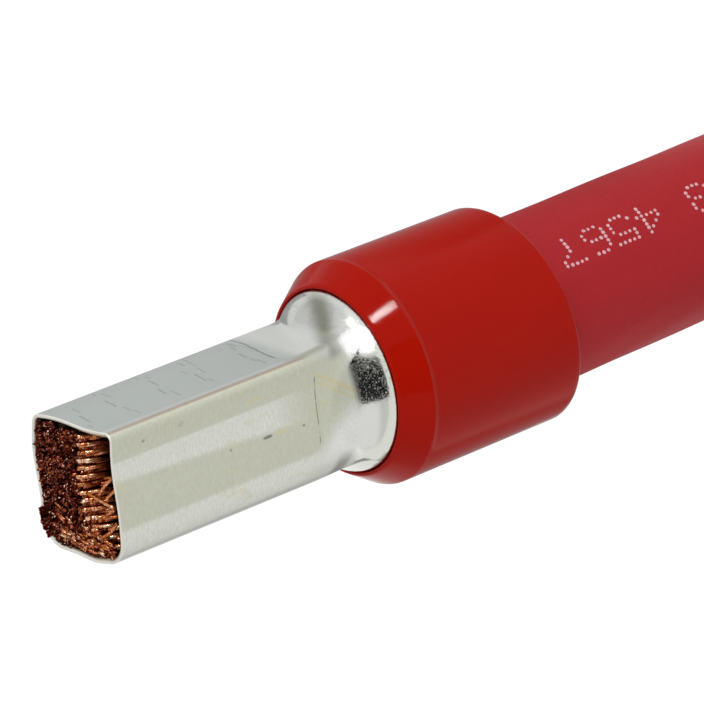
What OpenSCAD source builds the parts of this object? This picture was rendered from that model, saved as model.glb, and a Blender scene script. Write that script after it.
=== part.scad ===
// Insulated wire ferrule, square-crimped on the end of a fine-stranded battery cable.
// The ferrule's axis is the Z axis: the cut end of the cable stands on Z = 0 and the
// crimped pin points up. All sizes are in millimetres.

/* [Cable] */
// Diameter of the bare rope-lay conductor
conductor_d = 12.2; // [9:0.1:13]
// Thickness of the jacket
jacket_wall = 1.3; // [0.8:0.05:2]
// Length of cable that shows, from its cut end to the rear rim of the sleeve
cable_l = 30; // [20:1:60]
// Angle by which the cable runs off the axis of the ferrule
cable_lean = 1.1; // [0:0.1:3]
// Direction in which the cut end of the cable lies off the axis
cable_lean_dir = 22; // [0:1:359]
// Length along the cable in which a member goes once round
lay_l = 150; // [100:5:250]
// How far the conductor stops short of the jacket at the cut end
cut_recess = 0.2; // [0.1:0.1:1]

/* [Sleeve] */
// Room between the cable and the bore of the sleeve, on each side
entry_gap = 1.6; // [0.8:0.05:2.5]
// Wall of the moulded sleeve
sleeve_wall = 0.6; // [0.5:0.05:1.2]
// Length of the sleeve from its rear rim to its front lip, along the axis
sleeve_l = 18; // [16:0.1:30]
// Angle by which the rear rim is out of square, longest on the side at -X
rim_slant = 4.7; // [0:0.1:6]
// Length of the tapered nose
nose_l = 2.4; // [1.5:0.1:4]
// Length of the land inside the lip that grips the tube
lip_land = 1.4; // [0.8:0.1:2]
// Width of the flat front edge of the lip
lip_edge = 0.25; // [0.1:0.05:0.5]
// Radius of the moulded outer edges
sleeve_edge_r = 0.4; // [0.2:0.05:0.5]

/* [Tube] */
// Outside diameter of the drawn tube where it is still round
tube_d = 15.5; // [13:0.1:16.4]
// Wall of the tube
tube_wall = 0.4; // [0.3:0.05:0.5]
// Length of tube that is hidden in the sleeve
tube_seat_l = 8.9; // [6:0.1:9]
// Length of the flared mouth at the rear of the tube
mouth_l = 2.2; // [1:0.1:3]
// Gap between the mouth of the tube and the end of the stripped jacket
strip_gap = 0.5; // [0.5:0.1:3]
// Length of the pin from the lip of the sleeve to its tip
pin_l = 26.2; // [16:0.1:40]

/* [Crimp] */
// Length of the crimped part on the axis, measured back from the tip
crimp_l = 21; // [8:0.1:23]
// Angle by which the rear end of the crimp is out of square, nearest to the tip at -Y
crimp_slant = 20; // [0:1:20]
// Radius that joins the crimped faces to the round tube
crimp_fillet = 0.6; // [0.1:0.1:1]
// Size of the crimp across X
crimp_x = 11.3; // [9:0.1:11.8]
// Size of the crimp across Y
crimp_y = 10.6; // [9:0.1:11.8]
// How far the crimp lies off the axis of the sleeve, towards -X
crimp_shift = 0.5; // [0:0.05:0.6]
// Angle by which the sides at +Y and -Y lean over
crimp_lean = 5.6; // [0:0.1:8]
// Corner radii, anticlockwise from the corner at +X +Y
crimp_corner_r = [1.1, 2.5, 2.2, 0.7];
// Depth of the dish in the middle of the sides +X, +Y, -X and -Y (less than 0 bulges)
crimp_dish = [0, -0.22, -0.16, 0.1];
// Depth of the S-shaped wave along the sides +X, +Y, -X and -Y
crimp_wave = [-0.12, 0.16, -0.09, 0.13];

/* [Cut face] */
// How far below the rim of the tube the strands are cut off
cut_inset = 0.25; // [0:0.05:1]
// Distance from the axis, towards -Y, to the ridge from which the cut face falls away
ridge_y = 0.2; // [0:0.05:3]
// How fast the ridge nears the wall at -Y on its way to the side +X
ridge_tilt = 0.2; // [0:0.02:0.4]
// Distance from the axis, towards -X, in which the ridge curls round to the wall at -Y
ridge_curl = 3.5; // [2:0.1:5]
// Width of the slope below the ridge
ridge_run = 1.2; // [0.5:0.1:4]
// Depth of the hollow between the ridge and the wall of the tube
ridge_drop = 3; // [0:0.1:5]

/* [Hidden] */
// Clearances
member_gap = 0.09;    // round each member, inside its share of the conductor
conductor_gap = 0.12; // between the conductor and what is round it
lip_gap = 0.05;       // between the lip of the sleeve and the tube
mouth_gap = 0.08;     // between the flared mouth and the bore of the sleeve
// How far past the slanted rear end of the crimp the meshed forms become straight
straight_margin = 0.5;
// Share of the crimp's smaller half down to which the bell of the taper narrows
bell_share = 0.8;
// Powers that make a member's outline an oval: round conductor, then squarer in the crimp
oval_power = [0.8, 0.5];
// Height of the last level ring of a member below the lowest part of the cut face
cut_margin = 1;

// Radii
conductor_r = conductor_d / 2;
jacket_bore_r = conductor_r + conductor_gap;
cable_r = conductor_r + jacket_wall;
bore_r = cable_r + entry_gap;
sleeve_r = bore_r + sleeve_wall;
tube_r = tube_d / 2;
lip_r = tube_r + lip_gap;
mouth_r = bore_r - mouth_gap;

// Heights
rear_z = cable_l;
lip_z = rear_z + sleeve_l;
mouth_z = lip_z - tube_seat_l;
jacket_z = mouth_z - strip_gap;
tip_z = lip_z + pin_l;
die_z = tip_z - crimp_l;
straight_z = die_z + crimp_y / 2 * tan(crimp_slant) + straight_margin;

// Resolution of the meshed forms
corner_steps = 4;    // segments in each corner of the crimp
side_steps = 9;      // segments along each side of the crimp
corner_span = 10;    // degrees of the round tube that go into each corner
taper_steps = 8;     // rings in the taper from round to square
member_points = 12;  // points round a member
lay_steps = 5;       // rings in the round part of a member
crimp_steps = 4;     // rings in the crimped part of a member

// Layers of the rope lay: name, members in the layer, inner and outer share of the radius.
// The shares give each of the 19 members the same area.
LAYERS = [
    ["core_member", 1, 0, sqrt(1 / 19)],
    ["inner_member", 6, sqrt(1 / 19), sqrt(7 / 19)],
    ["outer_member", 12, sqrt(7 / 19), 1]];
MEMBERS = [for (layer = LAYERS) for (k = [1:layer[1]]) [layer, k]];

function member_name(m) =
    m[0][1] == 1 ? m[0][0] : str(m[0][0], "_", m[1] < 10 ? "0" : "", m[1]);

// ---- Functions ----------------------------------------------------------------------

function mix(a, b, t) = a + (b - a) * t;
function smooth(t) = let (u = min(max(t, 0), 1)) u * u * (3 - 2 * u);
function heading(a) = [cos(a), sin(a)];
function turned(p, a) = [p[0] * cos(a) - p[1] * sin(a), p[0] * sin(a) + p[1] * cos(a)];
function arc(c, r, a0, a1, n) = [for (i = [0:n]) c + r * heading(mix(a0, a1, i / n))];

// ---- The square crimp ---------------------------------------------------------------

// The point to which the crimp takes a point of the round tube, given by its direction,
// on the face that lies depth below the outer one.
function crimp_point(a, depth) =
    let (k = floor((a + 45) / 90), side = (k % 4 + 4) % 4, turn_a = a - 90 * k,
         reach = (side % 2 == 0 ? crimp_x : crimp_y) / 2,
         half = (side % 2 == 0 ? crimp_y : crimp_x) / 2,
         r_after = crimp_corner_r[side], r_before = crimp_corner_r[(side + 3) % 4],
         side_span = 45 - corner_span / 2, over = abs(turn_a) - side_span,
         r = turn_a > 0 ? r_after : r_before,
         bend = 90 * over / corner_span,
         t = turn_a / side_span,
         hollow = crimp_dish[side] * (1 - t * t) + crimp_wave[side] * sin(180 * t),
         p = over > 0
             ? [reach - r + (r - depth) * cos(bend),
                sign(turn_a) * (half - r + (r - depth) * sin(bend))]
             : [reach - depth - hollow, mix(r_before - half, half - r_after, (t + 1) / 2)],
         q = turned(p, 90 * k))
    [q[0] - crimp_shift, q[1] - q[0] * tan(crimp_lean)];

// How far the tube over a point of the crimp's outline has gone from round to crimped.
function crimped(z, p) = smooth((z - lip_z) / (die_z - p[1] * tan(crimp_slant) - lip_z));

// A number just above the larger of a and b, that turns smoothly from one to the other.
function blend_max(a, b, k) = (a + b + sqrt((a - b) * (a - b) + k * k)) / 2;

// The point of the tube in a direction: a bell that narrows from the round tube until it
// drops below the faces of the crimp.
function tube_point(a, z, round_r, depth) =
    let (p = crimp_point(a, depth), outer = crimp_point(a, 0), w = crimped(z, outer),
         bell_r = mix(round_r, bell_share * min(crimp_x, crimp_y) / 2, w) - depth,
         r = w == 0 ? bell_r : blend_max(norm(p), bell_r, 4 * crimp_fillet * w * (1 - w)))
    r * mix(heading(a), p / norm(p), w);

// Height of the cut face over a point of the tip.
function cut_z(p) =
    let (ridge = ridge_y + ridge_tilt * max(p[0], 0) + pow(max(-p[0], 0) / ridge_curl, 3))
    tip_z - cut_inset - ridge_drop * smooth((-p[1] - ridge) / ridge_run);

// ---- Meshes from stacked rings ------------------------------------------------------

function band(n, a, b) = [for (i = [0:n - 1]) let (j = (i + 1) % n)
    each [[a * n + i, b * n + i, b * n + j], [a * n + i, b * n + j, a * n + j]]];

// A closed solid through rings of n points each, from the bottom up and anticlockwise.
module stack(rings) {
    n = len(rings[0]);
    top = len(rings) - 1;
    low_centre = [for (p = rings[0]) 1] * rings[0] / n;
    high_centre = [for (p = rings[top]) 1] * rings[top] / n;
    points = concat([for (ring = rings) each ring], [low_centre, high_centre]);
    low = len(points) - 2;
    high = len(points) - 1;
    polyhedron(points, concat(
        [for (k = [0:top - 1]) each band(n, k, k + 1)],
        [for (i = [0:n - 1]) [low, i, (i + 1) % n]],
        [for (i = [0:n - 1]) [high, top * n + (i + 1) % n, top * n + i]]));
}

// A shell from a closed loop of rings: up its outside and down its inside.
module shell(rings) {
    n = len(rings[0]);
    polyhedron([for (ring = rings) each ring],
        [for (k = [0:len(rings) - 1]) each band(n, k, (k + 1) % len(rings))]);
}

// ---- Tube ---------------------------------------------------------------------------

// Directions of the points round the tube, closest together in the corners of the crimp.
TUBE_HEADINGS = [for (k = [0:3]) each concat(
    [for (i = [0:side_steps - 1]) 90 * k + (90 - corner_span) * (i / side_steps - 0.5)],
    [for (i = [0:corner_steps - 1]) 90 * k + 45 + corner_span * (i / corner_steps - 0.5)])];

// Stations along the tube: height and outer radius, as long as it is round.
TUBE_STATIONS = concat(
    [for (i = [0:4]) [mouth_z + mouth_l * i / 4, mix(mouth_r, tube_r, smooth(i / 4))]],
    [for (i = [0:taper_steps]) [mix(lip_z, straight_z, i / taper_steps), tube_r]],
    [[tip_z, tube_r]]);

function tube_ring(station, depth) = [for (a = TUBE_HEADINGS)
    let (p = tube_point(a, station[0], station[1], depth)) [p[0], p[1], station[0]]];

// Drawn tube of tinned copper: flared mouth, round seat, taper and square crimp.
module ferrule_tube() {
    color("silver") shell(concat(
        [for (i = [0:len(TUBE_STATIONS) - 1]) tube_ring(TUBE_STATIONS[i], 0)],
        [for (i = [len(TUBE_STATIONS) - 1:-1:0]) tube_ring(TUBE_STATIONS[i], tube_wall)]));
}

// ---- Sleeve -------------------------------------------------------------------------

// Moulded sleeve: bore for the cable, step down to the lip and tapered nose.
module insulating_sleeve() {
    nose_r = lip_r + lip_edge;
    slope = atan2(sleeve_r - nose_r, nose_l);
    edge = sleeve_edge_r;
    low_z = rear_z - sleeve_r * tan(rim_slant);
    shoulder_z = lip_z - nose_l - edge * tan(slope / 2);
    color("firebrick") intersection() {
        rotate_extrude($fn = 96) polygon(concat(
            [[bore_r, low_z], [sleeve_r, low_z]],
            arc([sleeve_r - edge, shoulder_z], edge, 0, slope, 3),
            [[nose_r, lip_z], [lip_r, lip_z], [lip_r, lip_z - lip_land]],
            [[bore_r, lip_z - lip_land - (bore_r - lip_r)]]));
        translate([0, 0, rear_z]) rotate([0, -rim_slant, 0])
            translate([-sleeve_l, -sleeve_l, 0]) cube(2 * sleeve_l);
    }
}

// ---- Cable --------------------------------------------------------------------------

// Where the middle of the cable lies at a height: it leans from the stripped end on.
function cable_middle(z) = tan(cable_lean) * max(jacket_z - z, 0) * heading(cable_lean_dir);

// Extruded jacket, cut level at the end that it stands on.
module cable_jacket() {
    reach = jacket_z + 2 * cable_r;
    color("crimson") intersection() {
        translate([0, 0, jacket_z]) rotate(cable_lean_dir) rotate([0, -cable_lean, 0])
            translate([0, 0, -reach]) difference() {
                cylinder(h = reach, r = cable_r, $fn = 96);
                translate([0, 0, -1]) cylinder(h = reach + 2, r = jacket_bore_r, $fn = 96);
            }
        translate([-reach, -reach, 0]) cube(2 * reach);
    }
}

// How far the conductor at a height has gone from round to the full section of the crimp.
function filled(z) = smooth((z - lip_z) / (straight_z - lip_z));

// A point of the conductor at a height, from its share of the radius and its direction.
// The conductor keeps its own radius until the tube round it leaves less room.
function conductor_point(share, a, z) =
    let (b = a + 360 * z / lay_l, depth = tube_wall + conductor_gap,
         wall = tube_point(b, z, tube_r, depth),
         own_r = mix(conductor_r, norm(crimp_point(b, depth)), filled(z)))
    share * min(own_r, norm(wall)) * wall / norm(wall) + cable_middle(z);

// A point of a member's outline: an oval in share and direction, squarer where crimped.
function member_point(layer, k, i, z) =
    let (t = 360 * (i + 0.5) / member_points, gap = member_gap / conductor_r,
         power = mix(oval_power[0], oval_power[1], filled(z)),
         c = pow(abs(cos(t)), power) * sign(cos(t)),
         s = pow(abs(sin(t)), power) * sign(sin(t)),
         share = (layer[3] + layer[2]) / 2 + c * ((layer[3] - layer[2]) / 2 - gap),
         wide = 180 / layer[1] - gap / share * 180 / PI)
    layer[1] == 1 ? conductor_point(layer[3] - gap, t, z)
                  : conductor_point(share, 360 * k / layer[1] + s * wide, z);

MEMBER_STATIONS = concat(
    [for (i = [0:lay_steps]) mix(cut_recess, lip_z, i / lay_steps)],
    [for (i = [1:taper_steps]) mix(lip_z, straight_z, i / taper_steps)],
    [for (i = [1:crimp_steps])
        mix(straight_z, tip_z - ridge_drop - cut_margin, i / crimp_steps)]);

function level_ring(layer, k, z) = [for (i = [0:member_points - 1])
    let (p = member_point(layer, k, i, z)) [p[0], p[1], z]];

function cut_ring(layer, k) = [for (i = [0:member_points - 1])
    let (z = cut_z(member_point(layer, k, i, tip_z)), p = member_point(layer, k, i, z))
    [p[0], p[1], z]];

// One bunch of strands, from the cut end of the cable to the cut face at the tip.
module member(layer, k) {
    color("peru") stack(concat(
        [for (z = MEMBER_STATIONS) level_ring(layer, k, z)], [cut_ring(layer, k)]));
}

// ---- Assembly -----------------------------------------------------------------------

insulating_sleeve();
ferrule_tube();
cable_jacket();
for (m = MEMBERS)
    member(m[0], m[1]);
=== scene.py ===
import math

import bpy
import numpy as np
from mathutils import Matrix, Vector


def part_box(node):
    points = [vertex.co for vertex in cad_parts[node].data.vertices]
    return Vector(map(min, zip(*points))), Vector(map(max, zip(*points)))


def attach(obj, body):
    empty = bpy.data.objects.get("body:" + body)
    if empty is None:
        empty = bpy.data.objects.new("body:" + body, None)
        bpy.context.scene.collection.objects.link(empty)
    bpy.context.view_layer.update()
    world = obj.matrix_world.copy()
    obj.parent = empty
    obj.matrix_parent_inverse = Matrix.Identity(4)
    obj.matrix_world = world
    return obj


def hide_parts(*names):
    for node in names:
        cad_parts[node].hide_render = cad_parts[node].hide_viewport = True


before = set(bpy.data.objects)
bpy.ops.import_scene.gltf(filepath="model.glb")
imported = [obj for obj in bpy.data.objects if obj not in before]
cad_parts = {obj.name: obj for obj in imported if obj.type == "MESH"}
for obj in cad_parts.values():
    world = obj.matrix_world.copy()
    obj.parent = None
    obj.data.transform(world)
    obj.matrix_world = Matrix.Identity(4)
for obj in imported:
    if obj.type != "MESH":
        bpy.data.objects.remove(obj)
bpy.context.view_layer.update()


# ---- Cable jacket -------------------------------------------------------------------
# Extruded soft PVC over the rope-lay conductor, crimson and matte. The stub leans a
# little off the axis of the ferrule, and its cut end stands level on the ground.

MM = 0.001
JACKET_R = 7.4
JACKET_BORE_R = 6.22
JACKET_Z = 38.6
CABLE_LEAN = math.tan(math.radians(1.1))
LEAN_SIDE = np.array([math.cos(math.radians(22)), math.sin(math.radians(22))])


def cable_middle(z):
    """Where the middle of the cable lies at a height."""
    return CABLE_LEAN * np.maximum(JACKET_Z - z, 0)[..., None] * LEAN_SIDE


def heading(angle):
    return np.stack([np.cos(angle), np.sin(angle)], axis=-1)


def place(name, points, faces, node=None):
    """A smooth mesh from points in millimetres, that rides on the part."""
    mesh = bpy.data.meshes.new(name)
    mesh.from_pydata((np.asarray(points) * MM).tolist(), [], faces)
    mesh.validate()
    mesh.shade_smooth()
    piece = bpy.data.objects.new(name, mesh)
    bpy.context.scene.collection.objects.link(piece)
    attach(piece, "root")
    if node:
        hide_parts(node)
    return piece


def ring_faces(rows, count, closed, first=0):
    """Four-sided faces between rows of count points; closed joins the last row to the first."""
    faces = []
    for row in range(rows if closed else rows - 1):
        low = first + row * count
        high = first + (row + 1) % rows * count
        for i in range(count):
            j = (i + 1) % count
            faces.append((low + i, low + j, high + j, high + i))
    return faces


class Value:
    """A value on its way through a finish; arithmetic on it adds Math nodes."""

    def __init__(self, finish, socket):
        self.finish = finish
        self.socket = socket

    def math(self, operation, *others):
        return self.finish.node("ShaderNodeMath", {"operation": operation}, self, *others)

    def __add__(self, other):
        return self.math("ADD", other)

    def __radd__(self, other):
        return self.math("ADD", other)

    def __sub__(self, other):
        return self.math("SUBTRACT", other)

    def __rsub__(self, other):
        return self.finish.node("ShaderNodeMath", {"operation": "SUBTRACT"}, other, self)

    def __mul__(self, other):
        return self.math("MULTIPLY", other)

    def __rmul__(self, other):
        return self.math("MULTIPLY", other)

    def __truediv__(self, other):
        return self.math("DIVIDE", other)

    def __abs__(self):
        return self.math("ABSOLUTE")

    def between(self, low, high):
        """0 below low, 1 above high, and a smooth step between them."""
        settings = {"interpolation_type": "SMOOTHSTEP"}
        return self.finish.node("ShaderNodeMapRange", settings, self, low, high, 0.0, 1.0)

    def near(self, middle, inner, outer):
        """1 within inner of the middle, and 0 beyond outer."""
        return 1 - abs(self - middle).between(inner, outer)


class Nodes:
    """The nodes of a finish or of the sky, all made by one method."""

    def __init__(self, tree):
        self.tree = tree
        tree.nodes.clear()

    def node(self, kind, settings, *values, out=0, **named):
        """A node with its settings first, then its sockets; None leaves a socket alone."""
        made = self.tree.nodes.new(kind)
        for key, value in settings.items():
            setattr(made, key, value)
        for key, value in [*enumerate(values), *named.items()]:
            if value is None:
                continue
            socket = made.inputs[key.replace("_", " ") if isinstance(key, str) else key]
            if isinstance(value, Value):
                self.tree.links.new(value.socket, socket)
            elif isinstance(value, tuple) and len(socket.default_value) == 4:
                socket.default_value = (*value, 1.0)
            else:
                socket.default_value = value
        return Value(self, made.outputs[out]) if made.outputs else None


class Finish(Nodes):
    """A material of one piece, worked out in millimetres of the part's own frame."""

    def __init__(self, name):
        self.material = bpy.data.materials.new(name)
        self.material.use_nodes = True
        super().__init__(self.material.node_tree)
        place_now = self.node("ShaderNodeTexCoord", {}, out="Object")
        self.position = self.node(
            "ShaderNodeVectorMath", {"operation": "SCALE"}, place_now, Scale=1 / MM)
        self.x, self.y, self.z = (
            self.node("ShaderNodeSeparateXYZ", {}, self.position, out=axis) for axis in "XYZ")

    def noise(self, size, detail=2.0, stretch=(1.0, 1.0, 1.0), roughness=0.5, shift=0.0):
        """Noise from 0 to 1 with patches of a size in millimetres, stretched along the axes."""
        scale = tuple(1 / (size * s) for s in stretch)
        moved = self.node(
            "ShaderNodeVectorMath", {"operation": "MULTIPLY_ADD"}, self.position, scale,
            (shift, shift, shift))
        return self.node("ShaderNodeTexNoise", {}, Vector=moved, Scale=1.0, Detail=detail,
                         Roughness=roughness)

    def mix(self, first, second, share):
        """Colour from first to second; the colours are the node's last two sockets."""
        unused = [None] * 5
        return self.node("ShaderNodeMix", {"data_type": "RGBA"}, share, *unused, first, second,
                         out=2)

    def bump(self, height, distance):
        """Normal from a height, whose full range is a distance in millimetres."""
        return self.node("ShaderNodeBump", {}, Height=height, Distance=distance * MM)

    def end(self, shader):
        self.node("ShaderNodeOutputMaterial", {}, Surface=shader)

    def surface(self, **named):
        self.end(self.node("ShaderNodeBsdfPrincipled", {}, **named))


def dress(piece, finish):
    """Gives a piece its finish, in place of any that it has."""
    piece.data.materials.clear()
    piece.data.materials.append(finish.material)


JACKET_POINTS = 224
LAY_L = 150
OUTER_MEMBERS = 12
WAVE_DEPTH = 0.02
jacket_profile = (
    [(JACKET_BORE_R, 0.0), (JACKET_R - 0.12, 0.0), (JACKET_R - 0.03, 0.04), (JACKET_R, 0.14)]
    + [(JACKET_R, z) for z in np.linspace(0.6, JACKET_Z - 0.3, 96)]
    + [(JACKET_R - 0.1, JACKET_Z), (JACKET_BORE_R, JACKET_Z)]
    + [(JACKET_BORE_R, z) for z in (26.0, 13.0)])
around = np.linspace(0, math.tau, JACKET_POINTS, endpoint=False)
jacket_rings = []
for radius, z in jacket_profile:
    # the members under it show through as shallow waves that follow their lay
    reach = np.full(JACKET_POINTS, radius)
    if radius == JACKET_R:
        wave = WAVE_DEPTH * np.cos(OUTER_MEMBERS * (around + math.tau * z / LAY_L))
        reach = radius + wave - WAVE_DEPTH
    ring = reach[:, None] * heading(around)
    level = np.full(JACKET_POINTS, z)
    jacket_rings.append(np.column_stack([ring + cable_middle(level), level]))
jacket = place("soft_jacket", np.concatenate(jacket_rings),
               ring_faces(len(jacket_rings), JACKET_POINTS, True), "cable_jacket")

jacket_pvc = Finish("soft_crimson_pvc")
cloud = jacket_pvc.noise(5.0, detail=3.0, stretch=(1, 1, 2.5))
grain = jacket_pvc.noise(0.22, detail=2.0)
colour = jacket_pvc.mix((0.36, 0.014, 0.018), (0.43, 0.020, 0.026), cloud)
colour = jacket_pvc.mix(colour, (0.29, 0.012, 0.016), grain.between(0.55, 0.75) * 0.3)
jacket_pvc.surface(
    Base_Color=colour,
    Roughness=0.48 + 0.14 * grain,
    Specular_IOR_Level=0.12,
    Normal=jacket_pvc.bump(grain + 0.6 * cloud, 0.03))
dress(jacket, jacket_pvc)


# ---- Print on the jacket ------------------------------------------------------------
# Plain running numbers in ink dots, as an ink-jet coder puts them on a cable. The line
# of digits runs along the cable towards the ferrule.

DOT_FONT = {
    "0": "01110 10001 10011 10101 11001 10001 01110",
    "1": "00100 01100 00100 00100 00100 00100 01110",
    "2": "01110 10001 00001 00110 01000 10000 11111",
    "3": "01110 10001 00001 00110 00001 10001 01110",
    "4": "00010 00110 01010 10010 11111 00010 00010",
    "5": "11111 10000 11110 00001 00001 10001 01110",
    "6": "01110 10000 10000 11110 10001 10001 01110",
    "7": "11111 00001 00010 00100 00100 00100 00100",
    " ": "00000 00000 00000 00000 00000 00000 00000"}
PRINTED = "0123 4567"
FIRST_DIGIT_Z = 1.1
DIGIT_PITCH = 3.0
COLUMN_PITCH = 0.53
ROW_PITCH = 0.4
PRINT_TOP = -7.3
DOT_R = 0.165
DOT_SIDES = 12
ink = np.random.default_rng(5)
dots = []
dot_faces = []
for place_in_line, digit in enumerate(PRINTED):
    for row, pattern in enumerate(DOT_FONT[digit].split()):
        for column, inked in enumerate(pattern):
            if inked == "0":
                continue
            z = FIRST_DIGIT_Z + DIGIT_PITCH * place_in_line + COLUMN_PITCH * column
            arc = PRINT_TOP + ROW_PITCH * row
            z, arc = np.array([z, arc]) + ink.normal(0, 0.018, 2)
            size = DOT_R * ink.uniform(0.88, 1.12)
            first = len(dots)
            rim = size * heading(np.linspace(0, math.tau, DOT_SIDES, endpoint=False))
            for share, lift in ((1.0, -0.05), (1.0, 0.006), (0.75, 0.014)):
                for across, along in share * rim:
                    turn = (arc + across) / JACKET_R
                    level = np.array(z + along)
                    spot = (JACKET_R + lift) * heading(np.array(turn)) + cable_middle(level)
                    dots.append((*spot, level))
            dot_faces += ring_faces(3, DOT_SIDES, False, first)
            dot_faces.append(tuple(first + 2 * DOT_SIDES + i for i in range(DOT_SIDES)))
            dot_faces.append(tuple(first + i for i in reversed(range(DOT_SIDES))))
digits = place("printed_numbers", dots, dot_faces)

marking_ink = Finish("pale_marking_ink")
thin = marking_ink.noise(0.18, detail=1.0)
marking_ink.surface(
    Base_Color=marking_ink.mix((0.74, 0.42, 0.46), (0.52, 0.16, 0.19), thin.between(0.5, 0.8)),
    Roughness=0.5 + 0.1 * thin,
    Specular_IOR_Level=0.3)
dress(digits, marking_ink)


# ---- Crimped tube -------------------------------------------------------------------
# Drawn copper tube, tinned, pressed square on the strands by a serrated die. It keeps
# its round form at the sleeve, and the tin is dull, stained and worn on the pressed part.
# Reflections, highlights and shade are also painted into the colour of the tin.

MOUTH_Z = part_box("ferrule_tube")[0].z / MM
TIP_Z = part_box("ferrule_tube")[1].z / MM
LIP_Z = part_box("insulating_sleeve")[1].z / MM
TUBE_R = 7.75
TUBE_WALL = 0.4
MOUTH_R = 8.92
MOUTH_L = 2.2
CRIMP_X = 11.3
CRIMP_Y = 10.6
CRIMP_SHIFT = 0.5
CRIMP_LEAN = math.tan(math.radians(5.6))
CRIMP_SLANT = math.tan(math.radians(20))
CORNER_R = np.array([1.1, 2.5, 2.2, 0.7])
DISH = np.array([0.0, -0.22, -0.16, 0.1])
WAVE = np.array([-0.12, 0.16, -0.09, 0.13])
FILLET = 0.6
CORNER_SPAN = 10
BELL_SHARE = 0.8
FLARE_Z = LIP_Z - 0.4
CRIMP_L = 21
STRAIGHT_MARGIN = 0.5
DIE_Z = TIP_Z - CRIMP_L
STRAIGHT_Z = DIE_Z + CRIMP_Y / 2 * CRIMP_SLANT + STRAIGHT_MARGIN


def smooth(t):
    t = np.clip(t, 0, 1)
    return t * t * (3 - 2 * t)


def crimp_point(angle, depth):
    """The point of the crimp for a direction in degrees, on the face that lies depth below."""
    turn = np.floor((angle + 45) / 90)
    side = turn.astype(int) % 4
    turn_angle = angle - 90 * turn
    reach = np.where(side % 2 == 0, CRIMP_X, CRIMP_Y) / 2
    half = np.where(side % 2 == 0, CRIMP_Y, CRIMP_X) / 2
    after = CORNER_R[side]
    before = CORNER_R[(side + 3) % 4]
    side_span = 45 - CORNER_SPAN / 2
    over = np.abs(turn_angle) - side_span
    corner = np.where(turn_angle > 0, after, before)
    bend = np.radians(90 * over / CORNER_SPAN)
    t = turn_angle / side_span
    hollow = DISH[side] * (1 - t * t) + WAVE[side] * np.sin(math.pi * t)
    along = (before - half) + (half - after - before + half) * (t + 1) / 2
    out = np.where(over > 0, reach - corner + (corner - depth) * np.cos(bend),
                   reach - depth - hollow)
    across = np.where(
        over > 0,
        np.sign(turn_angle) * (half - corner + (corner - depth) * np.sin(bend)), along)
    c, s = np.cos(np.radians(90 * turn)), np.sin(np.radians(90 * turn))
    x = out * c - across * s
    y = out * s + across * c
    return np.stack([x - CRIMP_SHIFT, y - x * CRIMP_LEAN], axis=-1)


def tube_point(angle, z, round_r, depth):
    """The point of the tube in a direction: a bell down to the faces of the crimp."""
    inner = crimp_point(angle, depth)
    outer = crimp_point(angle, 0)
    share = smooth((z - FLARE_Z) / (DIE_Z - outer[..., 1] * CRIMP_SLANT - FLARE_Z))
    small = BELL_SHARE * min(CRIMP_X, CRIMP_Y) / 2
    bell = round_r + (small - round_r) * share - depth
    size = np.linalg.norm(inner, axis=-1)
    blend = 4 * FILLET * share * (1 - share)
    both = (size + bell + np.sqrt((size - bell) ** 2 + blend ** 2)) / 2
    radius = np.where(share == 0, bell, both)
    way = heading(np.radians(angle))
    way = way + (inner / size[..., None] - way) * share[..., None]
    return radius[..., None] * way


SIDE_STEPS = 64
CORNER_STEPS = 22
tube_angles = np.concatenate([np.concatenate([
    90 * k + (90 - CORNER_SPAN) * (np.arange(SIDE_STEPS) / SIDE_STEPS - 0.5),
    90 * k + 45 + CORNER_SPAN * (np.arange(CORNER_STEPS) / CORNER_STEPS - 0.5)])
    for k in range(4)])
SERRATION_Z = (56.7, 61.3, 65.1, 69.4, 72.9)
SERRATION_WIDTH = 0.8
SERRATION_DEPTH = 0.02
TOP_EDGE_Z = 55.5
TOP_EDGE_DEPTH = 0.05
FRONT_EDGE_Z = 54.0
FRONT_EDGE_DEPTH = 0.06


def tooling(points, angles, z):
    """How deep the die has marked the outside of the tube."""
    top = np.abs((angles + 45) % 360 - 45) < 36
    depth = np.zeros(len(angles))
    for row in SERRATION_Z:
        away = (z - row) / (SERRATION_WIDTH / 2)
        depth += top * SERRATION_DEPTH * max(0.0, 1 - away ** 4)
    edge = math.exp(-((z - TOP_EDGE_Z) / 0.12) ** 2)
    depth += top * (points[:, 1] > -3.4) * (points[:, 1] < 4.0) * TOP_EDGE_DEPTH * edge
    front = np.abs(angles % 360 - 270) < 30
    scratch_z = FRONT_EDGE_Z - 0.03 * points[:, 0]
    depth += front * FRONT_EDGE_DEPTH * np.exp(-((z - scratch_z) / 0.08) ** 2)
    return depth


def tube_ring(z, round_r, depth, marked=False):
    level = np.full(len(tube_angles), z)
    ring = tube_point(tube_angles, level, round_r, depth)
    if marked:
        size = np.linalg.norm(ring, axis=1)
        ring = ring * (1 - tooling(ring, tube_angles, z) / size)[:, None]
    return np.column_stack([ring, level])


FINE_FROM_Z = 53.2
FINE_TO_Z = 57.0
tube_rings = []
for t in np.linspace(0, 1, 10):
    tube_rings.append(tube_ring(MOUTH_Z + MOUTH_L * t,
                                MOUTH_R + (TUBE_R - MOUTH_R) * smooth(t), 0))
for z in np.concatenate([np.linspace(MOUTH_Z + MOUTH_L + 0.5, LIP_Z - 0.1, 5),
                         np.arange(LIP_Z, FINE_FROM_Z, 0.12),
                         np.arange(FINE_FROM_Z, FINE_TO_Z, 0.1),
                         np.arange(FINE_TO_Z, TIP_Z - 0.2, 0.2)]):
    tube_rings.append(tube_ring(z, TUBE_R, 0, marked=True))
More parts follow.
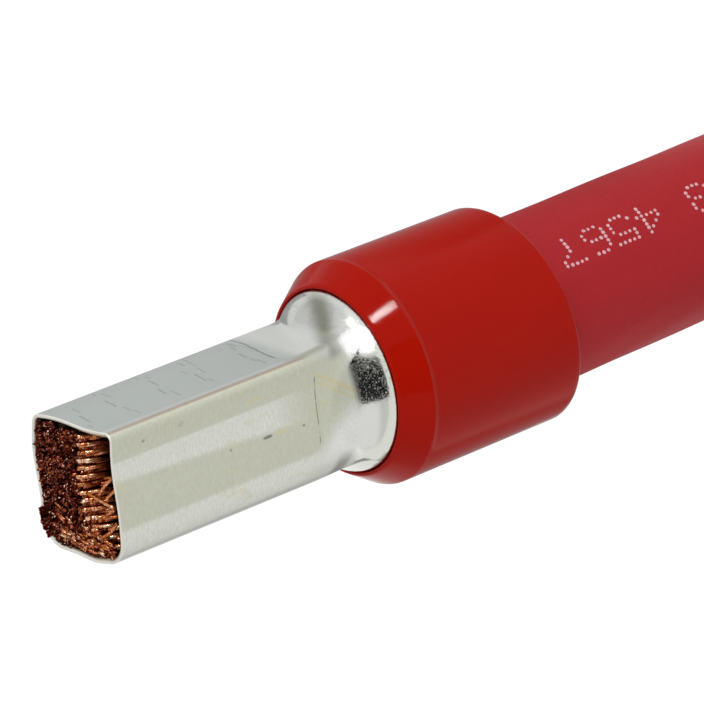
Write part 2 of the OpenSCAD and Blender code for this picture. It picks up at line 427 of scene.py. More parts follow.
# the cut has thinned the rim, most of all at the side -Y
rim = 0.215 + 0.085 * np.sin(np.radians(tube_angles))
for down, share in ((0.06, 0.0), (0.015, 0.12), (0.0, 0.3), (0.0, 0.75), (0.03, 0.95)):
    tube_rings.append(tube_ring(TIP_Z - down, TUBE_R, share * rim))
rim_rings = len(tube_rings)
for z in np.concatenate([np.arange(TIP_Z - 0.2, 69, -0.4), np.arange(68, STRAIGHT_Z, -3),
                         np.arange(STRAIGHT_Z, LIP_Z, -0.6), [LIP_Z, MOUTH_Z + MOUTH_L]]):
    tube_rings.append(tube_ring(z, TUBE_R, TUBE_WALL))
for t in np.linspace(0.75, 0, 4):
    tube_rings.append(tube_ring(MOUTH_Z + MOUTH_L * t,
                                MOUTH_R + (TUBE_R - MOUTH_R) * smooth(t), TUBE_WALL))
tube = place("tinned_tube", np.concatenate(tube_rings),
             ring_faces(len(tube_rings), len(tube_angles), True), "ferrule_tube")
inner = tube.data.attributes.new("inner", "FLOAT", "POINT")
inner.data.foreach_set("value", np.repeat(np.arange(len(tube_rings)) >= rim_rings,
                                          len(tube_angles)).astype(np.float32))

tin = Finish("tinned_copper")
worn = tin.noise(1.1, detail=4.0, stretch=(1, 1, 2.2))
haze = tin.noise(3.4, detail=3.0, stretch=(1, 1, 2.6), shift=3.7)
grit = tin.noise(0.105, detail=1.0, roughness=0.4, shift=9.1)
coarse = tin.x.between(-0.5, 3.8)
speckle = (grit + 0.07 * coarse).between(0.59, 0.79) * (0.35 + 0.65 * tin.x.between(-0.6, 0.6))
satin = tin.noise(0.3, detail=2.0, stretch=(1, 1, 0.6), shift=4.4)
pressed = tin.z.between(52.4, 54.2)
matte = tin.z.between(50.4, 51.2)
corner = crimp_point(np.array([-42.0]), 0.0)[0]
above_corner = (tin.x + tin.y - (corner[0] + corner[1])).between(-0.12, 0.12)
upper = tin.x.between(4.0, 5.0) * (1 - (1 - above_corner) * tin.z.between(52.8, 54.0))
top_face = tin.x.between(4.3, 4.8) * above_corner * pressed
dull_from = 51.3 + 0.85 * (0 - tin.x).math("MAXIMUM", 0.0)
front_face = (0 - tin.y).between(4.2, 4.7) * (1 - top_face) * (tin.z - dull_from).between(-1.4, 1.2)
TIN = (0.63, 0.645, 0.585)
TOP_SHADED_TIN = (0.385, 0.42, 0.405)
DULL_TIN = (0.60, 0.61, 0.49)
LIGHT_REFLECTION_TIN = (0.76, 0.77, 0.70)
DARK_REFLECTION_TIN = (0.27, 0.28, 0.225)
YELLOW_STAIN = (0.66, 0.59, 0.33)
BARE_COPPER = (0.36, 0.27, 0.215)
DARK_SCALE = (0.07, 0.065, 0.05)
dull = (0.85 + 0.3 * haze.between(0.3, 0.7)).math("MINIMUM", 1.0)
colour = tin.mix(TIN, DULL_TIN, front_face * dull)
# a lighter band painted along the front face, and one at its foot: painted reflections of bright
# surroundings
band_foot = 0.1 + 0.055 * (tin.z - 56)
band = tin.x.between(band_foot - 0.35, band_foot + 0.25) * (1 - tin.x.between(2.45, 2.75))
band = band * tin.z.between(54.5, 59)
foot = 1 - tin.x.between(-3.3, -2.8)
colour = tin.mix(colour, LIGHT_REFLECTION_TIN, front_face * (band + foot).math("MINIMUM", 1.0))
# the upper side is painted greyer: a painted reflection of darker surroundings
colour = tin.mix(colour, (0.59, 0.605, 0.575), upper)
# the top face is painted darker: painted shade, for the darker surroundings that it mirrors
colour = tin.mix(colour, TOP_SHADED_TIN, top_face * tin.z.between(53.6, 55.8))
top_edge = top_face * (0 - tin.y).between(4.3, 4.6) * tin.z.between(53.0, 57.0)
colour = tin.mix(colour, (0.50, 0.52, 0.50), top_edge * 0.6)
# a dark olive band painted across the taper and down into the corner: a painted reflection of
# darker surroundings
drift = 1.1 * (worn - 0.5)
dark_band_way = abs(tin.y + drift + 2.9 + 1.45 * (tin.z - 50.5))
painted_dark_band = (1 - dark_band_way.between(0.1, 2.4)) * tin.z.between(47.6, 49.2)
painted_dark_band = painted_dark_band * (1 - tin.z.between(51.8, 52.9)) * tin.x.between(3.8, 4.8)
painted_dark_band_low = (1 - abs(tin.y + 5.0).between(0.1, 0.9)) * tin.x.between(4.0, 4.9)
painted_dark_band_low = painted_dark_band_low * tin.z.between(51.2, 52.2) * (1 - tin.z.between(53.5, 57.5))
colour = tin.mix(colour, DARK_REFLECTION_TIN, painted_dark_band.math("MAXIMUM", painted_dark_band_low * 0.8))
# a soft diagonal band painted darker low on the taper, near the lower corner: painted shade
low_painted_shade = 1 - abs(tin.z - 52.0 + 0.6 * (tin.x + 4.7) + 0.4 * (worn - 0.5)).between(0.2, 1.1)
low_painted_shade = low_painted_shade * (1 - abs(tin.x + 4.7).between(0.7, 1.8)) * (0 - tin.y).between(3.2, 4.0)
colour = tin.mix(colour, (0.27, 0.27, 0.245), 0.9 * low_painted_shade)
# a patch painted paler low on the taper, off the front face: painted light
pale = tin.z.between(49.1, 49.7) * (1 - tin.x.between(0.0, 0.8)) * tin.x.between(-5.0, -3.6)
pale = pale * (1 - front_face) * (0 - tin.y).between(4.5, 5.2)
colour = tin.mix(colour, (0.80, 0.81, 0.77), pale)
# a painted highlight, nearly white, where the taper leaves the round tube
painted_highlight = (tin.x - 5.1) * (tin.x - 5.1) + (tin.y + 5.9) * (tin.y + 5.9)
painted_highlight = painted_highlight + 0.7 * (tin.z - 49.5) * (tin.z - 49.5) + 1.6 * (grit - 0.5)
colour = tin.mix(colour, (0.96, 0.97, 0.96), 1 - painted_highlight.between(1.1, 2.4))
# yellow streaks over the taper, and stains on the front face
wander = tin.noise(0.9, detail=2.0, stretch=(1, 1, 2), shift=7.7)
way = (tin.x + 0.35 * (wander - 0.5)) - (2.3 + 0.72 * (tin.z - 52.3))
streaks = (1 - abs(way).between(0.05, 0.4)) + 0.8 * (1 - abs(way + 0.65).between(0.05, 0.25))
streaks = streaks * tin.z.between(50.4, 51.2) * (1 - tin.z.between(53.6, 54.4))
streaks = streaks * (0 - tin.y).between(4.0, 5.0)
colour = tin.mix(colour, YELLOW_STAIN, streaks.math("MINIMUM", 1.0) * 0.8)
stain = worn.between(0.56, 0.72) * haze.between(0.42, 0.58) * front_face
colour = tin.mix(colour, YELLOW_STAIN, stain * 0.45)
brushed = tin.noise(0.1, detail=2.0, stretch=(5, 5, 1), shift=8.8).between(0.35, 0.65)
colour = tin.mix(colour, (0.38, 0.39, 0.33), brushed * front_face * 0.2)
# a dark line painted along the lower corner: a painted reflection of the dark underside
under = (0 - tin.x).between(5.3, 5.5) * (0 - tin.y).between(4.0, 4.5) * tin.z.between(53, 55)
colour = tin.mix(colour, (0.22, 0.21, 0.22), under * 0.8)
SPOTS = (  # x, height, half width, half length, and how dark
    (-0.13, 59.2, 0.16, 0.55, 0.75), (3.35, 60.3, 0.25, 0.9, -0.5), (-0.1, 57.9, 0.3, 0.8, -0.5),
    (3.58, 71.1, 0.16, 0.2, 0.45), (0.0, 62.9, 0.14, 0.16, 0.45), (-0.34, 55.6, 0.13, 0.15, 0.6),
    (3.75, 67.4, 0.3, 0.3, 0.2))
for x, z, wide, long, dark in SPOTS:
    away = ((tin.x - x) / wide * (tin.x - x) / wide + (tin.z - z) / long * (tin.z - z) / long)
    mark = (1 - (away + 1.2 * (grit - 0.5)).between(0.3, 1.2)) * front_face
    colour = tin.mix(colour, DARK_SCALE if dark > 0 else YELLOW_STAIN, mark * abs(dark))
# scratches that the teeth and the edge of the die left across the top face
SCRATCHES = (  # height, middle, half length, and how dark
    (55.45, 0.4, 3.5, 0.8), (56.6, 1.5, 0.6, 0.4), (56.9, -0.4, 0.6, 0.5), (56.75, -1.9, 0.5, 0.4),
    (60.75, 1.6, 0.8, 0.4), (60.95, -0.3, 0.7, 0.35), (61.8, -1.4, 1.0, 0.5),
    (62.2, 0.4, 0.6, 0.3), (65.05, 0.9, 0.9, 0.45), (65.5, -1.2, 0.7, 0.5), (64.7, 2.3, 0.5, 0.35),
    (69.0, 2.0, 0.8, 0.4), (69.75, 0.1, 0.9, 0.5), (69.3, -1.9, 0.7, 0.4), (72.4, 1.2, 0.7, 0.45),
    (72.8, -0.8, 0.9, 0.5), (73.3, -2.4, 0.5, 0.35), (56.2, 2.4, 0.8, 0.5), (56.5, -2.7, 0.7, 0.45),
    (60.5, 3.0, 0.5, 0.4), (61.3, 2.4, 0.7, 0.4), (61.5, -2.6, 0.5, 0.45), (64.9, -2.4, 0.8, 0.4),
    (65.3, 3.3, 0.6, 0.35), (69.5, 3.2, 0.5, 0.35), (69.1, -3.1, 0.6, 0.4))
slip = tin.y * 0.12 + 0.25 * (tin.noise(0.8, detail=2.0, shift=6.6) - 0.5)
for z, y, half_length, dark in SCRATCHES:
    line = (tin.z + slip).near(z, 0.02, 0.13)
    line = line * (tin.y - y).near(0.0, half_length - 0.1, half_length)
    colour = tin.mix(colour, DARK_SCALE, line * top_face * dark * 0.9)
# the edge of the die across the front face
scratch = (tin.z + 0.015 * tin.x).near(54.1, 0.02, 0.08) * tin.x.near(0.15, 2.9, 3.3)
scratch = scratch * front_face * tin.noise(0.7, detail=2.0, shift=2.2).between(0.38, 0.5)
colour = tin.mix(colour, DARK_SCALE, scratch * 0.75)
# copper shows where the tin is worn off the sharp corner
corner_away = ((tin.x - corner[0]) * (tin.x - corner[0])
               + (tin.y - corner[1]) * (tin.y - corner[1])).math("SQRT")
bare = (1 - corner_away.between(0.1, 0.26)) * tin.z.between(53.8, 55.2)
colour = tin.mix(colour, BARE_COPPER, bare * (0.7 + 0.3 * haze))
# the tin is finely clouded all over
cloud = tin.noise(0.16, detail=3.0, shift=5.3).between(0.35, 0.65)
colour = tin.mix(colour, (0.42, 0.43, 0.37), cloud * matte * 0.16)
# a pale line painted round the outside just below the cut: a painted highlight on the rim
colour = tin.mix(colour, (0.80, 0.77, 0.70), tin.z.between(TIP_Z - 0.14, TIP_Z - 0.08))
inner_wall = tin.node("ShaderNodeAttribute", {"attribute_name": "inner"}, out="Fac")
# the inside of the tube near the tip is painted as shade: dark towards -Y, a lighter brown towards
# +Y
bore_shade = tin.mix((0.55, 0.38, 0.26), (0.10, 0.06, 0.045), tin.y.between(-3, 0))
colour = tin.mix(colour, bore_shade, inner_wall * tin.z.between(60, 70))
tin.surface(
    Base_Color=colour,
    Metallic=1 - 0.7 * matte,
    Roughness=0.085 + 0.33 * matte + 0.05 * worn,
    Normal=tin.bump(speckle * (1 - 0.6 * matte) + 0.3 * satin, 0.008))
dress(tube, tin)


# ---- Insulating sleeve --------------------------------------------------------------
# Moulded plastic collar in glossy red: a bore for the cable, a step down to the lip
# that grips the tube, and a tapered nose. Its rear rim is out of square.

SLEEVE_R = 9.6
SLEEVE_BORE_R = 9.0
LIP_R = 7.8
LIP_EDGE = 0.25
NOSE_L = 2.4
LIP_LAND = 1.4
EDGE_R = 0.4
REAR_Z = 30.0
RIM_SLANT = math.tan(math.radians(4.7))
SLEEVE_POINTS = 288
nose_slope = math.atan2(SLEEVE_R - LIP_R - LIP_EDGE, NOSE_L)
shoulder_z = LIP_Z - NOSE_L - EDGE_R * math.tan(nose_slope / 2)
round_it = [(SLEEVE_R - EDGE_R + EDGE_R * math.cos(a), shoulder_z + EDGE_R * math.sin(a))
            for a in np.linspace(0, nose_slope, 9)]
nose_end = (LIP_R + LIP_EDGE, LIP_Z)
nose = [tuple(np.array(round_it[-1]) + (np.array(nose_end) - round_it[-1]) * t)
        for t in np.linspace(0.1, 0.96, 10)]
# radius, height, and how far the height follows the slant of the rear rim
sleeve_profile = (
    [(SLEEVE_BORE_R, REAR_Z + 0.12, 1), (SLEEVE_BORE_R + 0.04, REAR_Z + 0.03, 1),
     (SLEEVE_BORE_R + 0.12, REAR_Z, 1), (SLEEVE_R - 0.16, REAR_Z, 1),
     (SLEEVE_R - 0.05, REAR_Z + 0.04, 1), (SLEEVE_R, REAR_Z + 0.15, 1)]
    + [(SLEEVE_R, REAR_Z + (shoulder_z - REAR_Z) * t, 1 - t) for t in np.linspace(0.04, 0.97, 36)]
    + [(r, z, 0) for r, z in round_it + nose]
    + [(LIP_R + LIP_EDGE - 0.05, LIP_Z - 0.01, 0), (LIP_R + LIP_EDGE - 0.12, LIP_Z, 0),
       (LIP_R + 0.06, LIP_Z, 0), (LIP_R, LIP_Z - 0.06, 0), (LIP_R, LIP_Z - LIP_LAND, 0),
       (SLEEVE_BORE_R, LIP_Z - LIP_LAND - (SLEEVE_BORE_R - LIP_R), 0)]
    + [(SLEEVE_BORE_R, z, 0) for z in (42.0, 38.0, 34.0)])
around = np.linspace(0, math.tau, SLEEVE_POINTS, endpoint=False)
sleeve_rings = []
for radius, z, slanted in sleeve_profile:
    # a moulding sinks a few hundredths where it is thick
    sink = 0.02 * np.sin(2 * around + 0.6) * (radius == SLEEVE_R)
    ring = (radius + sink - 0.02 * (radius == SLEEVE_R))[:, None] * heading(around)
    level = z + slanted * RIM_SLANT * ring[:, 0]
    sleeve_rings.append(np.column_stack([ring, level]))
sleeve = place("moulded_sleeve", np.concatenate(sleeve_rings),
               ring_faces(len(sleeve_rings), SLEEVE_POINTS, True), "insulating_sleeve")

red = Finish("glossy_red_plastic")
flow = red.noise(4.0, detail=2.0, stretch=(1, 1, 3))
pebble = red.noise(0.16, detail=2.0)
colour = red.mix((0.355, 0.005, 0.001), (0.405, 0.008, 0.002), flow)
red.surface(
    Base_Color=colour,
    Roughness=0.06 + 0.04 * pebble,
    IOR=1.15,
    Normal=red.bump(pebble + 2.0 * flow, 0.005))
dress(sleeve, red)


# ---- Conductor ----------------------------------------------------------------------
# Nineteen bunches of fine bare copper strands, laid up as a rope. The tool cut them
# flush over most of the tip and tore them back towards one wall of the tube.
# Shade among the strands is painted into their tones and cores, and so are small glints.

# the solid cores are painted near black: painted shade in the gaps between the strands
core_shade = Finish("packed_copper_in_shade")
pack = core_shade.noise(0.3, detail=3.0, stretch=(1, 1, 5))
core_shade.surface(
    Base_Color=core_shade.mix((0.010, 0.004, 0.003), (0.035, 0.012, 0.008), pack),
    Metallic=0.5,
    Roughness=0.55 + 0.2 * pack,
    Normal=core_shade.bump(pack, 0.15))
STRAND_R = 0.148
STRAND_PITCH = 0.3
STRAND_SIDES = 8
CUT_INSET = 0.25
RIDGE_Y = 0.2
RIDGE_TILT = 0.2
RIDGE_CURL = 3.5
RIDGE_DROP = 3.0


def ridge_line(x):
    """Distance from the axis, towards -Y, to the ridge of the cut face."""
    return RIDGE_Y + RIDGE_TILT * np.maximum(x, 0) + (np.maximum(-x, 0) / RIDGE_CURL) ** 3


# the solid cores lie a little below the strands, and deeper where these are torn off
for name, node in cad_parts.items():
    if "_member" not in name:
        continue
    points = np.array([node.matrix_world @ vertex.co for vertex in node.data.vertices]) / MM
    at_tip = points[:, 2] > TIP_Z - CUT_INSET - RIDGE_DROP - 0.5
    torn = (-points[at_tip, 1] - ridge_line(points[at_tip, 0])).max() > -0.3
    points[at_tip, 2] = points[at_tip, 2] - 0.35 if not torn else TIP_Z - RIDGE_DROP - 0.6
    bunch = place("packed_" + name, points, [tuple(f.vertices) for f in node.data.polygons], name)
    dress(bunch, core_shade)


class Strands:
    """Many short lengths of wire in one mesh, each with a tone of its own."""

    def __init__(self):
        self.points = []
        self.faces = []
        self.rounded = []
        self.tones = []

    def lay(self, path, tone, radius=STRAND_R, sides=STRAND_SIDES, slanted=(0.0, 0.0)):
        """One wire along a path, cut off on the slant at its far end."""
        path = np.asarray(path, float)
        way = np.gradient(path, axis=0)
        way /= np.linalg.norm(way, axis=1)[:, None]
        aside = np.cross(way, (0.32, 0.91, 0.26))
        aside /= np.linalg.norm(aside, axis=1)[:, None]
        over = np.cross(way, aside)
        first = len(self.points)
        for i in range(len(path)):
            for turn in np.linspace(0, math.tau, sides, endpoint=False):
                c, s = radius * math.cos(turn), radius * math.sin(turn)
                lift = slanted[0] * c + slanted[1] * s if i == len(path) - 1 else 0.0
                self.points.append(path[i] + c * aside[i] + s * over[i] + lift * way[i])
        self.faces += ring_faces(len(path), sides, False, first)
        last = first + (len(path) - 1) * sides
        self.faces.append(tuple(last + i for i in range(sides)))
        self.faces.append(tuple(first + i for i in reversed(range(sides))))
        self.rounded += [True] * ((len(path) - 1) * sides) + [False, False]
        self.tones += [tone] * (len(path) * sides)

    def piece(self, name):
        made = place(name, self.points, self.faces)
        made.data.polygons.foreach_set("use_smooth", self.rounded)
        tone = made.data.attributes.new("tone", "FLOAT", "POINT")
        tone.data.foreach_set("value", self.tones)
        return made


def honeycomb(reach, pitch):
    """Closest packing of equal wires round the axis."""
    rows = int(reach / (pitch * math.sqrt(3) / 2))
    columns = int(reach / pitch)
    return [(pitch * (i + 0.5 * (row % 2)), pitch * math.sqrt(3) / 2 * row)
            for row in range(-rows, rows + 1) for i in range(-columns, columns + 1)]


chance = np.random.default_rng(11)
outline_angles = np.linspace(-45, 315, 721)
outline = crimp_point(outline_angles, TUBE_WALL + STRAND_R + 0.02)
outline_turn = np.unwrap(np.arctan2(outline[:, 1], outline[:, 0]))


def room(x, y):
    """Share of the way from the axis to the wall that a point lies at."""
    turn = (math.atan2(y, x) - outline_turn[0]) % math.tau + outline_turn[0]
    size = np.interp(turn, outline_turn, np.linalg.norm(outline, axis=1))
    return math.hypot(x, y) / size


# each bunch leans its own way, and its strands follow it
bunch_middles = [(0.0, 0.0)] + [
    tuple(2.35 * heading(math.tau * (k + 0.2) / 6)) for k in range(6)] + [
    tuple(4.5 * heading(math.tau * (k + 0.6) / 12)) for k in range(12)]
MEMBERS = len(bunch_middles)
bunch_leans = chance.normal(0, 0.12, (MEMBERS, 2))
bunch_rise = chance.normal(0, 0.05, MEMBERS)
bunch_tone = chance.normal(0, 0.05, MEMBERS)


def torn_height(fall):
    """Height of the strand tips by the distance beyond the ridge: beads, then a cliff."""
    return TIP_Z - CUT_INSET - 0.5 * smooth(fall / 0.9) - 2.0 * smooth((fall - 0.72) / 0.2)


# the strip along the ridge that is left to the strands standing in pairs
STRIP_FROM = -0.12
STRIP_TO = 0.88
TIP_REACH = 7.0
tips = Strands()
for x, y in honeycomb(TIP_REACH, STRAND_PITCH):
    x, y = np.array([x, y]) + chance.normal(0, 0.03, 2)
    reach = room(x, y)
    fall = -y - ridge_line(x)
    if reach > 1 or STRIP_FROM < fall < STRIP_TO:
        continue
    far = np.array([math.hypot(x - a, y - b) for a, b in bunch_middles])
    bunch = int(np.argmin(far))
    edge = 1 - smooth((np.partition(far, 1)[1] - far.min()) / 0.5)
    hollow = fall > 0
    # the cutter has combed the tips over towards the corner below the hollow
    combed = smooth((-x - 1.2) / 1.4) * smooth((3.2 - y) / 1.6) * (not hollow)
    outer = reach > 0.88
    top = torn_height(fall) + 0.12 + bunch_rise[bunch] - 0.15 * edge + chance.normal(0, 0.08)
    lost = chance.random() < 0.1 or (
        x > 3.3 and reach > 0.9 and y < 2.0 and chance.random() < 0.9)
    if hollow:
        top -= chance.uniform(0.0, 0.6)
    elif lost:
        top -= chance.uniform(0.35, 1.0)
    elif outer and (x < -3 or y > 2):
        top = TIP_Z + 0.02 - abs(chance.normal(0, 0.06))
    top -= 0.14 * combed
    top = min(top, TIP_Z + 0.02 if outer else TIP_Z + 0.1)
    lean = bunch_leans[bunch] + chance.normal(0, 0.07, 2)
    swing = smooth((2.5 - y) / 6)
    pull = np.array([-0.85 + 0.7 * swing, -0.35 - 0.6 * swing])
    drag = combed * chance.uniform(0.15, 0.75) * pull
    drag = drag + (1 - combed) * chance.normal(0, 0.05, 2)
    drag = drag * (not hollow) * (1.0 if chance.random() < 0.6 else 0.3)
    if outer:
        drag = (0.27 if y > 2 and x < 2.5 else 0.12) * np.array([x, y]) / math.hypot(x, y)
    bend_z = 0.32 - 0.12 * combed
    path = [np.array([x - lean[0], y - lean[1], top - 1.0]),
            np.array([x - bend_z * lean[0], y - bend_z * lean[1], top - bend_z]),
            np.array([x + drag[0], y + drag[1], top])]
    # darker tones in the hollow, for sunken strands and along the edges of bunches are painted
    # shade; combed strands are a little lighter
    tone = 0.17 + bunch_tone[bunch] + chance.normal(0, 0.1) + 0.06 * smooth((x + 0.5) / 3)
    tone += 0.1 * combed - 0.3 * hollow - 0.12 * lost - 0.13 * edge
    tips.lay(path, tone, STRAND_R * chance.uniform(0.9, 1.05), slanted=chance.normal(0, 0.5, 2))

# strands that stand in pairs along the ridge, and show their sides towards the hollow
TOOTH_R = 0.172
TOOTH_PITCH = 0.34
TEETH = 29
TOOTH_ROWS = 4
for tooth in range(TEETH):
    behind = tooth % 2 * chance.uniform(0.5, 1.3)
    lean = 0.19 + chance.normal(0, 0.02)
    for row in range(TOOTH_ROWS):
        x = 4.75 - TOOTH_PITCH * tooth + chance.normal(0, 0.025)
        fall = 0.03 + 0.22 * row + chance.normal(0, 0.01)
        y = -ridge_line(np.array(x)) - fall
        if room(x, y) > (0.9 if x > 3 else 0.985):
            continue
        gap = -0.5 < x < 0.2 and row > 0
        sunk = behind * (0.2 + 0.2 * row) + gap * chance.uniform(0.5, 1.4)
        top = torn_height(fall) + 0.12 + chance.normal(0, 0.07) - sunk
        path = [(x - 3.1 * lean, y, top - 3.1), (x - 1.4 * lean, y, top - 1.4), (x, y, top)]
        # strands sunk behind and those in the gap get darker tones: painted shade
        tone = 0.75 + chance.normal(0, 0.08) - 0.35 * gap - 0.3 * (behind > 0)
        if chance.random() < 0.4:
            tone += 0.2
        tips.lay(path, tone, TOOTH_R, slanted=chance.normal(0, 0.4, 2))

# strands combed flat along the foot of the cut, towards the corner below the hollow
COMBED_FLAT = 420
for k in range(COMBED_FLAT):
    x, y = chance.uniform(-5.6, -1.9), chance.uniform(-4.9, 3.6)
    bent = chance.uniform(0.35, 0.9)
    way = np.array([-0.1 - 0.4 * smooth((y + 1) / 3) * (x > -4.4) + chance.normal(0, 0.1), -0.95])
    end = np.array([x, y]) + bent * way
    fall = -y - ridge_line(x)
    sparse = x > (-4.3 if y > 0.5 else -3.4 + 0.25 * y) and k % 9
    if room(x, y) > 0.99 or room(*end) > 1.02 or fall > 0.5 or sparse:
        continue
    top = TIP_Z - CUT_INSET + 0.14 - 0.3 * max(fall, 0) + chance.normal(0, 0.05)
    tone = 0.62 + chance.normal(0, 0.2)
    tips.lay([(x + 0.06, y + 0.15, top - 0.7), (x, y, top - 0.03), (*end, top - 0.1 * bent)],
             tone, 0.11, sides=6, slanted=chance.normal(0, 0.4, 2))

# loose strands that bridge the hollow
LOOSE = (
    ((1.2, -4.5, 73.7), (0.5, -3.5, 73.95), (-0.5, -2.7, 74.05)),
    ((-1.25, -4.35, 73.9), (-0.9, -2.9, 74.1), (-0.5, -1.2, 74.1)),
    ((-1.45, -4.2, 73.8), (-2.0, -3.2, 74.0), (-2.7, -2.2, 74.05)),
    ((-2.45, -4.4, 73.9), (-3.3, -3.9, 74.15), (-4.0, -2.3, 74.1)),
    ((0.3, -4.55, 73.6), (-0.2, -4.1, 73.8), (-0.6, -3.5, 73.9)))
for bridge in LOOSE:
    (a, b, c) = np.array(bridge)
    bow = [a * (1 - t) ** 2 + 2 * b * t * (1 - t) + c * t * t for t in np.linspace(0, 1, 8)]
    tips.lay(bow, 0.68, STRAND_R * 0.95)

# a tuft that spills over the rim at one corner
TUFT = 130
for k in range(TUFT):
    edge = crimp_point(np.array([chance.uniform(125, 135)]), 0.0)[0]
    reach = chance.uniform(0.93, 1.0)
    rise = chance.uniform(0.0, 0.12)
    end = edge * reach + chance.normal(0, 0.1, 2)
    tips.lay([(*(edge * 0.86), TIP_Z - 0.45), (*(edge * 0.93), TIP_Z + 0.5 * rise),
              (*end, TIP_Z + rise)],
             0.06 + chance.normal(0, 0.06), 0.12, sides=6, slanted=chance.normal(0, 0.6, 2))
strand_tips = tips.piece("strand_tips")

# the saw cut at the other end, level with the jacket
tails = Strands()
TAIL_REACH = 6.2
for x, y in honeycomb(TAIL_REACH, STRAND_PITCH):
    x, y = np.array([x, y]) + chance.normal(0, 0.02, 2)
    if math.hypot(x, y) > JACKET_BORE_R - STRAND_R - 0.02:
        continue
    foot = cable_middle(np.array(0.0)) + (x, y)
    low = 0.06 + abs(chance.normal(0, 0.04))
    tails.lay([(*foot, 0.9), (*foot, low)], 0.3 + chance.normal(0, 0.12), sides=6)
strand_tails = tails.piece("strand_tails")

copper = Finish("bare_copper_strand")
tone = copper.node("ShaderNodeAttribute", {"attribute_name": "tone"}, out="Fac")
tarnish = copper.noise(0.55, detail=2.0)
fleck = copper.noise(0.09, detail=2.0, shift=2.6)
# the strands are painted lighter lower down their sides: painted light where they lie in shade
painted_flank_light = 1 - copper.z.between(TIP_Z - 2.6, TIP_Z - 0.9)
shade = tone + 0.3 * painted_flank_light + 0.8 * (tarnish - 0.5) + 1.3 * (fleck - 0.5)
colour = copper.mix((0.012, 0.002, 0.001), (0.16, 0.032, 0.020), shade.between(0.0, 0.38))
colour = copper.mix(colour, (0.62, 0.20, 0.06), shade.between(0.34, 0.7))
colour = copper.mix(colour, (0.97, 0.72, 0.50), shade.between(0.70, 1.02))
# painted glints: small bright flecks near the cut ends of the strands
painted_glint = copper.noise(0.16, detail=0.0, shift=8.3).between(0.68, 0.73)
painted_glint = painted_glint * copper.noise(0.8, detail=1.0, shift=1.7).between(0.42, 0.52)
colour = copper.mix(colour, (0.95, 0.52, 0.40), painted_glint * copper.z.between(TIP_Z - 1.2, TIP_Z - 0.8))
copper.surface(
    Base_Color=colour,
    Metallic=1.0,
    Roughness=0.34 - 0.14 * shade.between(0.3, 0.9) + 0.1 * tarnish,
    Specular_Tint=(0.75, 0.30, 0.18),
    Normal=copper.bump(copper.noise(0.05, detail=1.0), 0.008))
for bundle in (strand_tips, strand_tails):
    dress(bundle, copper)


# ---- Studio -------------------------------------------------------------------------
# A white floor and sky, a small key lamp to one side and a broad fill. A dark flag, a
# bright card and dark runners on the floor show in reflections only, so what the tin and
# the plastic mirror is not quite the white that the camera sees.

MIDDLE = np.array([0.0, 0.0, 0.05])


def aimed(thing, azimuth, elevation, distance):
    """Puts a lamp or card round the part, facing it. Azimuth 0 is the side -Y."""
    a, e = math.radians(azimuth), math.radians(elevation)
    back = np.array([math.sin(a) * math.cos(e), -math.cos(a) * math.cos(e), math.sin(e)])
    thing.location = MIDDLE + distance * back
    thing.rotation_euler = (math.pi / 2 - e, 0, a)


def soft_lamp(name, azimuth, elevation, distance, size, power):
    data = bpy.data.lights.new(name, "AREA")
    data.shape = "RECTANGLE"
    data.size, data.size_y = size
    data.energy = power
    lamp = bpy.data.objects.new(name, data)
    bpy.context.scene.collection.objects.link(lamp)
    aimed(lamp, azimuth, elevation, distance)
    return lamp


def card(name, width, height):
    mesh = bpy.data.meshes.new(name)
    corners = [(-width / 2, -height / 2, 0), (width / 2, -height / 2, 0),
               (width / 2, height / 2, 0), (-width / 2, height / 2, 0)]
    mesh.from_pydata(corners, [], [(0, 1, 2, 3)])
    made = bpy.data.objects.new(name, mesh)
    bpy.context.scene.collection.objects.link(made)
    return made


def reflected_card(name, level, width, height, azimuth, elevation, distance):
    """A plain glow that only reflections show."""
    made = card(name, width, height)
    aimed(made, azimuth, elevation, distance)
    glow = Finish(name + "_glow")
    glow.end(glow.node("ShaderNodeEmission", {}, (level, level, level), 1.0))
    made.data.materials.append(glow.material)
    made.visible_camera = False
    made.visible_diffuse = False
    made.visible_shadow = False
    made.visible_transmission = False


soft_lamp("key_lamp", 70, 26, 0.6, (0.065, 0.038), 1.5)
fill = soft_lamp("fill_lamp", -50, 14, 0.9, (1.3, 0.9), 1.6)
fill.visible_glossy = False
reflected_card("dark_flag", 0.02, 0.56, 0.56, 7, 20.5, 0.62)
reflected_card("bright_card", 3.0, 0.52, 0.13, 63, 2, 0.55)

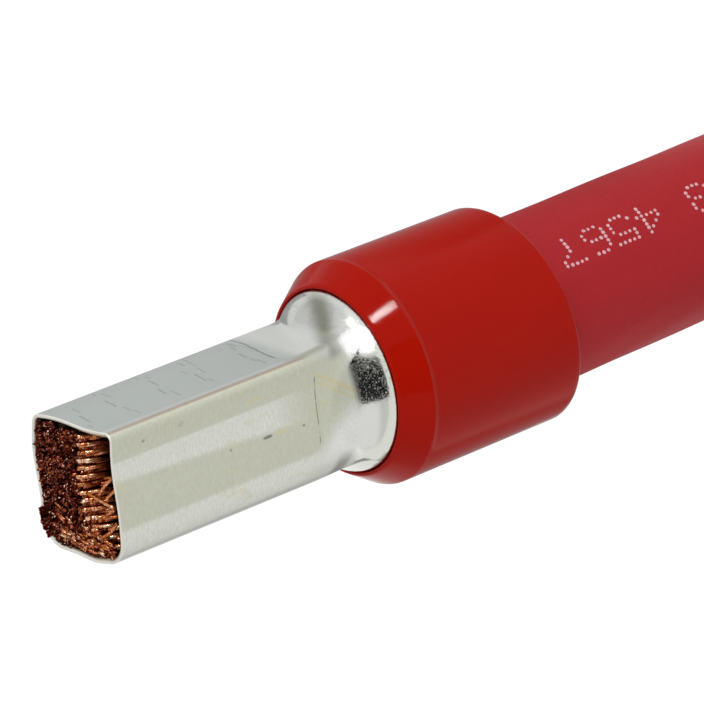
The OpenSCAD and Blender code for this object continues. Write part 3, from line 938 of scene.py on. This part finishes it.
floor = card("floor", 6.0, 6.0)
paper = Finish("white_paper")
seen = paper.node("ShaderNodeLightPath", {}, out="Is Camera Ray")
mirrored = paper.node("ShaderNodeLightPath", {}, out="Is Glossy Ray")
diffuse = paper.node("ShaderNodeBsdfDiffuse", {}, (0.8, 0.8, 0.8))
dim = paper.node("ShaderNodeBsdfDiffuse", {}, (0.15, 0.15, 0.15))
glow = paper.node("ShaderNodeEmission", {}, (1.0, 1.0, 1.0), 0.93)
lit = paper.node("ShaderNodeAddShader", {}, dim, glow)
faint = paper.node("ShaderNodeEmission", {}, (1.0, 1.0, 1.0), 0.38)
# dark runners, which only reflections in the upper and lower edges of the part show
near_part = paper.y.between(8, 20) * (1 - paper.y.between(64, 72))
near_part = near_part * (1 - paper.x.between(50, 72))
spread = paper.x - 0.6 * (paper.y - 105).math("MAXIMUM", 0.0)
beyond = paper.y.between(64, 72) * (1 - paper.y.between(240, 320))
beyond = beyond * (1 - spread.between(18, 26))
below = (1 - paper.x.between(-40, -25)) * paper.x.between(-160, -130)
below = below * paper.y.between(-8, 4) * (1 - paper.y.between(55, 70))
runner = ((near_part + beyond) * paper.x.between(-45, -20)).math("MAXIMUM", below)
paper_seen = paper.node("ShaderNodeMixShader", {}, runner * mirrored, lit, faint)
paper.end(paper.node(
    "ShaderNodeMixShader", {}, seen.math("MAXIMUM", mirrored), diffuse, paper_seen))
floor.data.materials.append(paper.material)

world = bpy.data.worlds.new("studio")
bpy.context.scene.world = world
world.use_nodes = True
sky = Nodes(world.node_tree)
seen = sky.node("ShaderNodeLightPath", {}, out="Is Camera Ray")
through = sky.node("ShaderNodeLightPath", {}, out="Is Transmission Ray")
mirrored = sky.node("ShaderNodeLightPath", {}, out="Is Glossy Ray")
either = seen.math("MAXIMUM", through).math("MAXIMUM", mirrored)
level = sky.node("ShaderNodeMapRange", {}, either, To_Min=0.75, To_Max=1.0)
sky.node("ShaderNodeOutputWorld", {},
         Surface=sky.node("ShaderNodeBackground", {}, Strength=level))

lens = bpy.data.cameras.new("camera")
lens.sensor_width = 36
lens.lens = 230.1
camera = bpy.data.objects.new("camera", lens)
camera.location = np.array([114.13, -277.92, 253.28]) * MM
camera.rotation_euler = np.radians([-27.918, 49.914, -102.705])
bpy.context.scene.collection.objects.link(camera)
bpy.context.scene.camera = camera
bpy.context.scene.view_settings.view_transform = "Standard"
